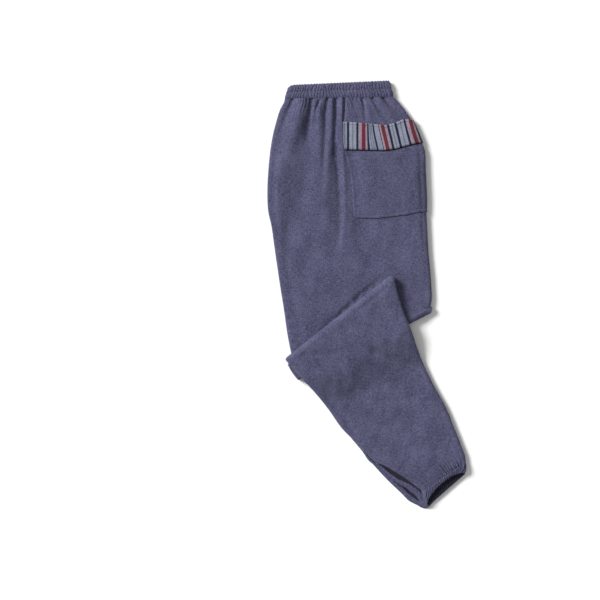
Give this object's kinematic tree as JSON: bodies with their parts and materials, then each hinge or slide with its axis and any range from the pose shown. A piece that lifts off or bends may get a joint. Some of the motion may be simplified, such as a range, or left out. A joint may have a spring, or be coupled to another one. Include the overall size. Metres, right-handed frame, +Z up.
{
  "type": "monpe trousers, folded flat",
  "caption": "Monpe work trousers in mauve chambray, folded flat at the knee, with an elastic waistband, gathered hems and a hip pocket edged with a striped band.",
  "frame": {"origin": "centre of the folded garment's outline, on the surface that it lies on", "axes": "+Z up from the surface, +Y towards the waistband, +X towards the wearer's back"},
  "size_m": [0.3567, 0.7704, 0.027],
  "materials": {
    "chambray": "mauve and navy chambray with fine slubs, matte",
    "striped_cotton": "woven stripes in pale grey, navy and wine red, matte"
  },
  "bodies": {
    "root": {"hidden_layers": "chambray", "left_leg_thigh": "chambray", "waistband": "chambray", "hip_pocket": "chambray", "pocket_band": "striped_cotton", "knee_fold": "chambray", "right_leg_shin": "chambray", "left_leg_shin": "chambray", "left_hem_casing": "chambray", "right_hem_casing": "chambray"}
  },
  "joints": []
}
